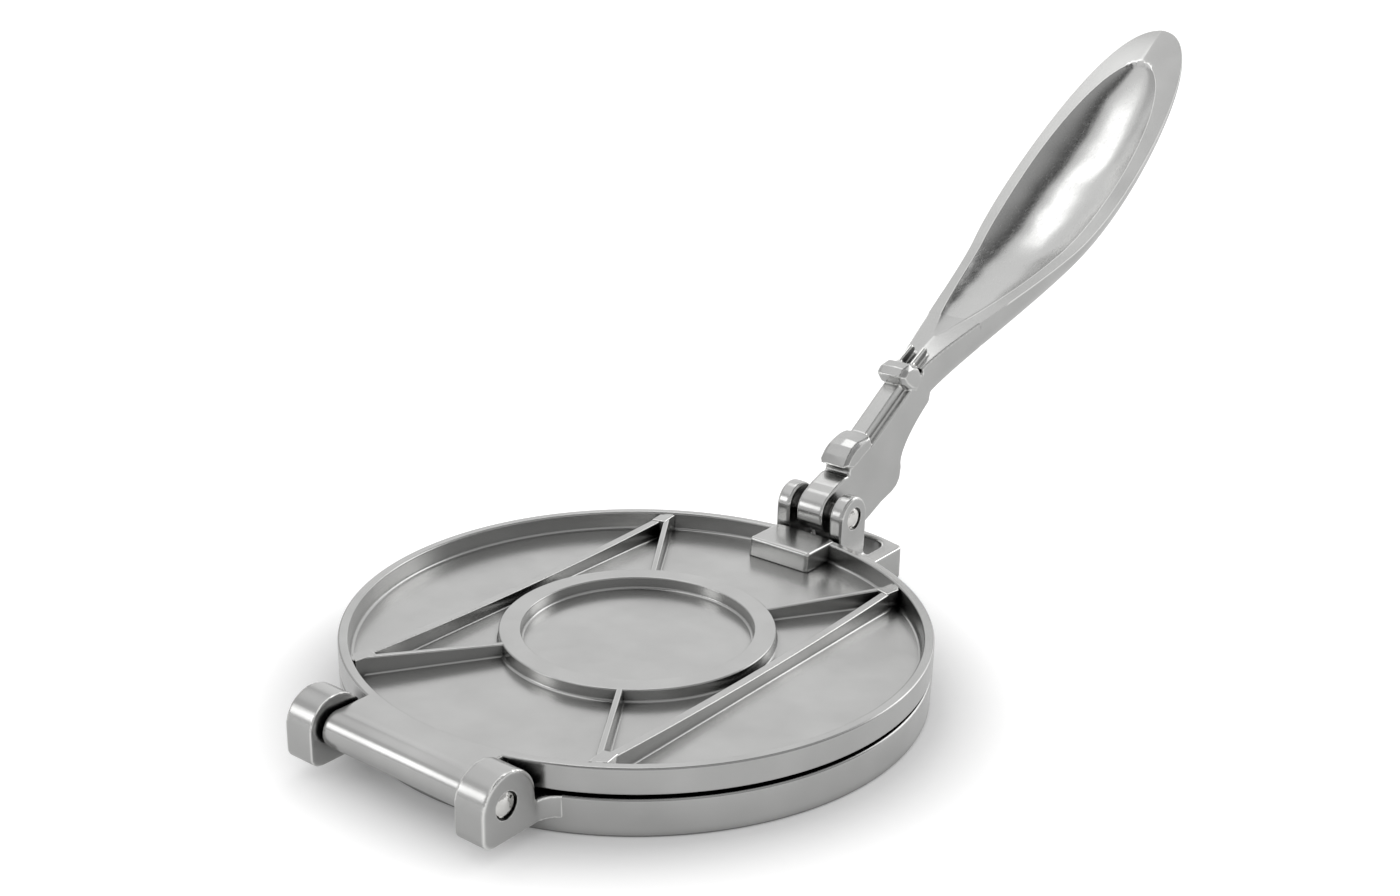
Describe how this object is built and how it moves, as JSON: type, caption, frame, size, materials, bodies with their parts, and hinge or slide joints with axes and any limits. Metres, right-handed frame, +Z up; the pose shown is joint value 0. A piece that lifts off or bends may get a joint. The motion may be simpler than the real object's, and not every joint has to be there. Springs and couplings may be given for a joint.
{
  "type": "tortilla press",
  "caption": "Hinged round press with ribbed upper plate, hollow base and long spoon-grip lever that cams the plates shut.",
  "frame": {"origin": "centre of the base plate on its resting plane", "axes": "+Z up, +X from the plate hinge towards the lever pivot, +Y to the left when looking along +X"},
  "size_m": [0.4087, 0.165, 0.1539],
  "materials": {
    "cast_aluminium": "satin, belt-finished casting",
    "pin_steel": "bright domed pin"
  },
  "bodies": {
    "base": {"base": "cast_aluminium", "hinge_pin": "pin_steel", "lever_pin": "pin_steel"},
    "upper_plate": {"upper_plate": "cast_aluminium"},
    "lever": {"lever": "cast_aluminium"}
  },
  "joints": [
    {"name": "plate_hinge", "type": "hinge", "parent": "base", "child": "upper_plate", "pos_m": [-0.0889, 0, 0.0139], "axis": [0, -1, 0], "range_deg": [0, 180]},
    {"name": "lever_pivot", "type": "hinge", "parent": "base", "child": "lever", "pos_m": [0.0902, 0, 0.0244], "axis": [0, 1, 0], "range_deg": [-128.8, 0]}
  ]
}
